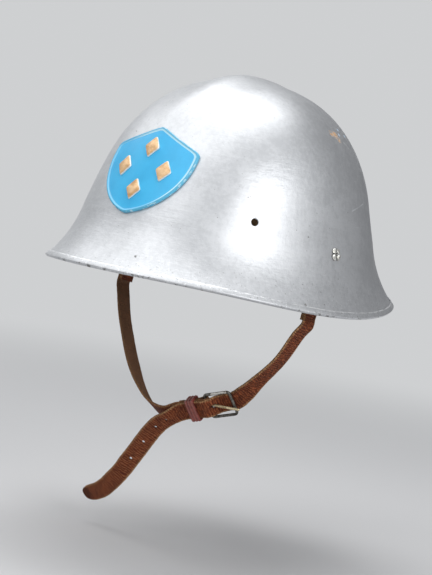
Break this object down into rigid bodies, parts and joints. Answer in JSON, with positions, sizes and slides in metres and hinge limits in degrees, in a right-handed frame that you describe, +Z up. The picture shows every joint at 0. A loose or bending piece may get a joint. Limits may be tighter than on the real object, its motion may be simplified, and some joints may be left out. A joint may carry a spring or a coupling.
{
  "type": "fire helmet",
  "caption": "Pressed steel fire helmet with a flared brim, a shield badge, a leather liner on a steel band and a swinging buckled leather chin strap.",
  "frame": {"origin": "middle of the headband's lower edge, where the wearer's head enters", "axes": "+Z up to the crown, -Y to the wearer's front, +X to the wearer's left"},
  "size_m": [0.2416, 0.2907, 0.3439],
  "materials": {
    "silver_paint": "satin aluminium paint, worn at the edge",
    "blue_enamel": "glossy blue enamel",
    "gilt": "worn gilt with pale edges",
    "steel": "dull zinc-plated steel",
    "old_brass": "worn brass",
    "liner_leather": "undyed liner leather",
    "felt": "grey felt",
    "cord": "cotton cord",
    "strap_leather": "cracked brown leather with tan edges",
    "keeper_leather": "glazed red-brown leather"
  },
  "bodies": {
    "helmet": {"shell": "silver_paint", "rim_band": "silver_paint", "badge_shield": "blue_enamel", "badge_lozenges": "gilt", "badge_nuts": "steel", "split_rivets": "steel", "rivet_spacers": "steel", "liner_band": "steel", "felt_pads": "felt", "sweatband": "liner_leather", "crown_fingers": "liner_leather", "drawcord": "cord", "band_rivets": "old_brass"},
    "chin_strap": {"left_hanger": "steel", "right_hanger": "steel", "long_strap": "strap_leather", "short_strap": "strap_leather", "strap_rivets": "old_brass"},
    "buckle": {"buckle_frame": "steel"},
    "prong": {"buckle_prong": "old_brass"},
    "keeper": {"strap_keeper": "keeper_leather"}
  },
  "joints": [
    {"name": "strap_swing", "type": "hinge", "parent": "helmet", "child": "chin_strap", "pos_m": [0, 0, 0.026], "axis": [-1, 0, 0], "range_deg": [-50, 40]},
    {"name": "buckle_tilt", "type": "hinge", "parent": "chin_strap", "child": "buckle", "pos_m": [0.0245, -0.022, -0.101], "axis": [0.2134, 0.5253, -0.8238], "range_deg": [0, 10]},
    {"name": "prong_swing", "type": "hinge", "parent": "buckle", "child": "prong", "pos_m": [0.0245, -0.022, -0.101], "axis": [0.2134, 0.5253, -0.8238], "range_deg": [0, 8]},
    {"name": "keeper_slide", "type": "slide", "parent": "chin_strap", "child": "keeper", "axis": [-0.9398, -0.12, -0.3199], "range_m": [0, 0.007]}
  ]
}
